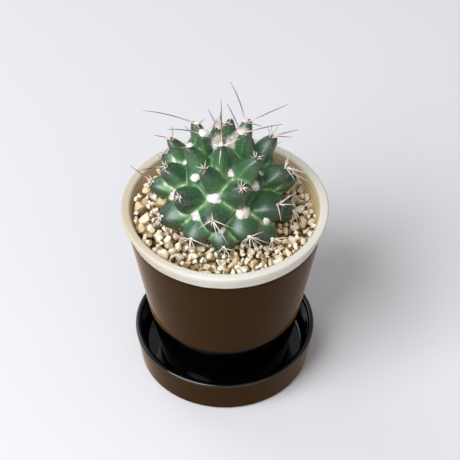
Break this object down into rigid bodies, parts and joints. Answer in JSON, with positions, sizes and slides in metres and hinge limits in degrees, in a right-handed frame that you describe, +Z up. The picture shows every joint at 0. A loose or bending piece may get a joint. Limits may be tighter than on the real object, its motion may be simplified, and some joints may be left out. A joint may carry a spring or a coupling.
{
  "type": "potted mammillaria cactus",
  "caption": "Small round tubercled cactus with wool and spines, set in pale gravel in a tapered black glazed pot with a bare cream rim, standing on a matching saucer.",
  "frame": {"origin": "centre of the saucer's underside, which is also the bottom centre of the whole object's box", "axes": "+Z up along the axis of the pot and saucer; the plant stands a little off that axis towards +Y; -Y is the side that the picture shows in front"},
  "size_m": [0.09, 0.09, 0.1452],
  "materials": {
    "black_glaze": "deep black gloss glaze",
    "bare_clay": "bare fired cream stoneware, matte",
    "cactus_skin": "waxy dark green plant skin, satin",
    "spine": "dry horny cream to brown",
    "wool": "white plant wool, matte",
    "pale_gravel": "broken, rough, matte",
    "coarse_pumice": "porous, matte",
    "soil": "crumbly, matte",
    "net_plastic": "moulded, matte"
  },
  "bodies": {
    "root": {"saucer": "black_glaze", "pot": "black_glaze", "cactus": "cactus_skin", "gravel_bed": "pale_gravel", "potting_mix": "soil", "drainage_gravel": "coarse_pumice", "drain_net": "net_plastic", "gravel_stone_01": "pale_gravel", "gravel_stone_02": "pale_gravel", "gravel_stone_03": "pale_gravel", "gravel_stone_04": "pale_gravel", "gravel_stone_05": "pale_gravel", "gravel_stone_06": "pale_gravel", "gravel_stone_07": "pale_gravel", "gravel_stone_08": "pale_gravel", "gravel_stone_09": "pale_gravel", "gravel_stone_10": "pale_gravel", "gravel_stone_11": "pale_gravel", "gravel_stone_12": "pale_gravel", "gravel_stone_13": "pale_gravel", "gravel_stone_14": "pale_gravel", "gravel_stone_15": "pale_gravel", "gravel_stone_16": "pale_gravel", "gravel_stone_17": "pale_gravel", "gravel_stone_18": "pale_gravel", "gravel_stone_19": "pale_gravel", "gravel_stone_20": "pale_gravel", "gravel_stone_21": "pale_gravel", "gravel_stone_22": "pale_gravel", "gravel_stone_23": "pale_gravel", "gravel_stone_24": "pale_gravel"}
  },
  "joints": []
}
